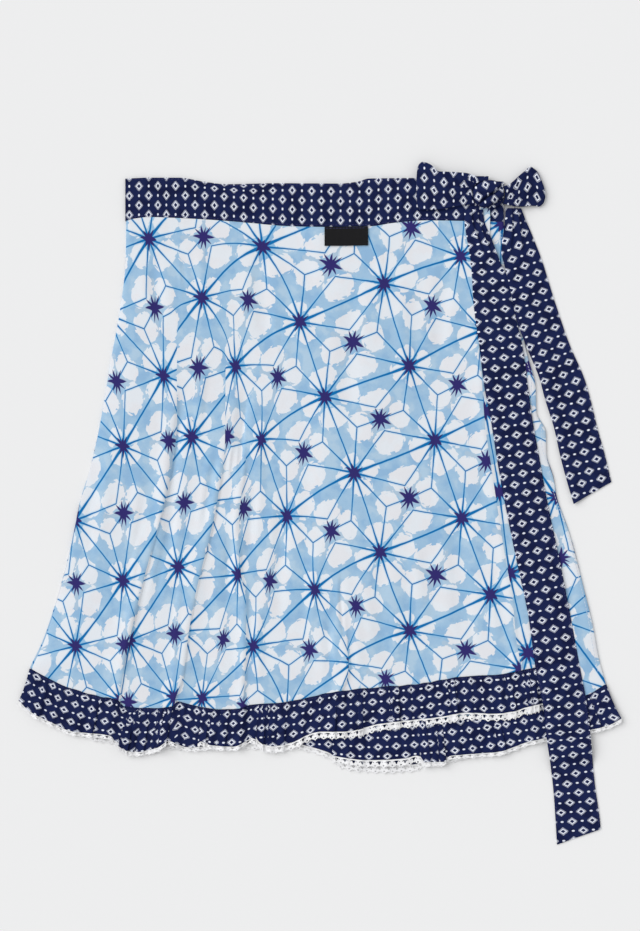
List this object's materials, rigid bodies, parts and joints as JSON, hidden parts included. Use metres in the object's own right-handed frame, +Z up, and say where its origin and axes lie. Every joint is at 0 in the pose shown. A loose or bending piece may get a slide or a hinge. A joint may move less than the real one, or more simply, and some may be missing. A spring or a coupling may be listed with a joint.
{
  "type": "wrap skirt laid flat",
  "caption": "Knee-length cotton wrap skirt laid flat, with a gathered lace-edged hem ruffle and ties knotted in a bow at one end of the waistband.",
  "frame": {"origin": "on the surface it lies on, at the middle of the whole part's outline seen from above", "axes": "+X along the waistband towards the bow, +Y from the hem to the waistband, +Z up from the surface"},
  "size_m": [0.602, 0.6811, 0.0146],
  "materials": {
    "print_cotton": "matt light-blue and white printed plain-weave cotton",
    "navy_cotton": "matt navy cotton with a small white diamond and dot repeat",
    "cotton_lace": "matt white crochet-style cotton lace",
    "woven_label": "plain black satin-woven label, bare"
  },
  "bodies": {
    "root": {"back_panel": "print_cotton", "inner_front_panel": "print_cotton", "outer_front_panel": "print_cotton", "waistband_back": "navy_cotton", "waistband_inner": "navy_cotton", "waistband_outer": "navy_cotton", "ruffle_back": "navy_cotton", "ruffle_inner": "navy_cotton", "ruffle_outer": "navy_cotton", "lace_back": "cotton_lace", "lace_inner": "cotton_lace", "lace_outer": "cotton_lace", "label": "woven_label", "bow_loop_left": "navy_cotton", "bow_loop_right": "navy_cotton", "bow_knot": "navy_cotton", "tie_long": "navy_cotton", "tie_short": "navy_cotton"}
  },
  "joints": []
}
